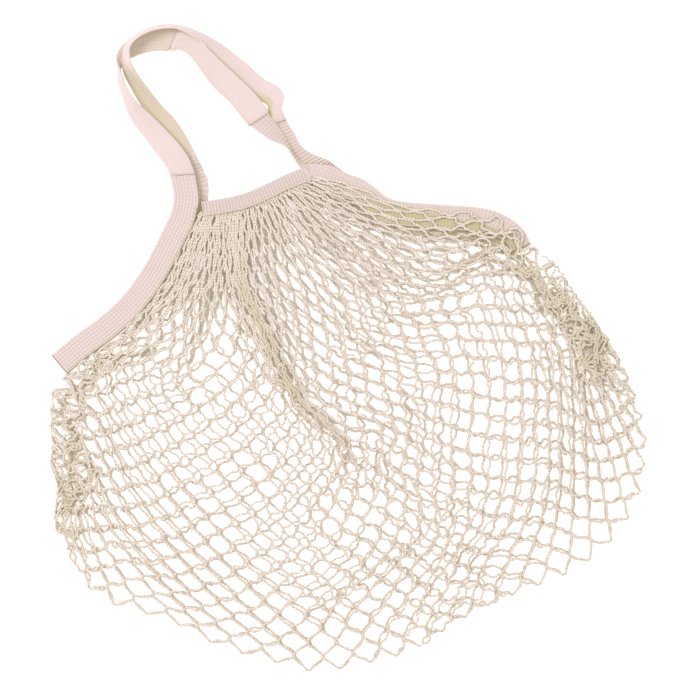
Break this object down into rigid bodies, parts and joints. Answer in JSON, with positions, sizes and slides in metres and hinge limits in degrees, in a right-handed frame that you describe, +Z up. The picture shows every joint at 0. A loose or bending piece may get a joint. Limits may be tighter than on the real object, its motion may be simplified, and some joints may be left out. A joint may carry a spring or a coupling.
{
  "type": "mesh produce bag",
  "caption": "Knitted cotton string bag for produce, lying flat and empty, with ribbed mouth and side bands and two long strap handles that lift up from the mouth.",
  "frame": {"origin": "middle of the footprint of the bag as it lies, on the surface it lies on", "axes": "+Y from the bag's bottom towards its mouth and handles, +X along the mouth, +Z up from the surface the bag lies on"},
  "size_m": [0.475, 0.5386, 0.0196],
  "materials": {
    "net_yarn": "matt twisted cotton yarn",
    "ribbed_cotton": "matt ribbed cotton knit",
    "jersey_cotton": "matt fine cotton jersey",
    "sewing_thread": "matt cotton thread"
  },
  "bodies": {
    "bag": {"net_front": "net_yarn", "net_back": "net_yarn", "left_net_join": "net_yarn", "right_net_join": "net_yarn", "front_mouth_band": "ribbed_cotton", "back_mouth_band": "ribbed_cotton", "left_side_band": "ribbed_cotton", "right_side_band": "ribbed_cotton", "front_gather_stitch": "sewing_thread", "back_gather_stitch": "sewing_thread", "left_band_stitch": "sewing_thread", "right_band_stitch": "sewing_thread", "mouth_end_stitches": "sewing_thread"},
    "front_handle": {"front_left_foot": "ribbed_cotton", "front_right_foot": "ribbed_cotton", "front_strap": "jersey_cotton", "front_left_lap_stitch": "sewing_thread", "front_right_lap_stitch": "sewing_thread"},
    "back_handle": {"back_left_foot": "ribbed_cotton", "back_right_foot": "ribbed_cotton", "back_strap": "jersey_cotton", "back_left_lap_stitch": "sewing_thread", "back_right_lap_stitch": "sewing_thread"}
  },
  "joints": [
    {"name": "front_handle_lift", "type": "hinge", "parent": "bag", "child": "front_handle", "pos_m": [-0.02, 0.131, 0.0093], "axis": [1, 0, 0], "range_deg": [0, 150]},
    {"name": "back_handle_lift", "type": "hinge", "parent": "bag", "child": "back_handle", "pos_m": [-0.02, 0.131, 0.0093], "axis": [1, 0, 0], "range_deg": [0, 150]}
  ],
  "couplings": [
    {"joint": "back_handle_lift", "follows": "front_handle_lift", "ratio": 1}
  ]
}
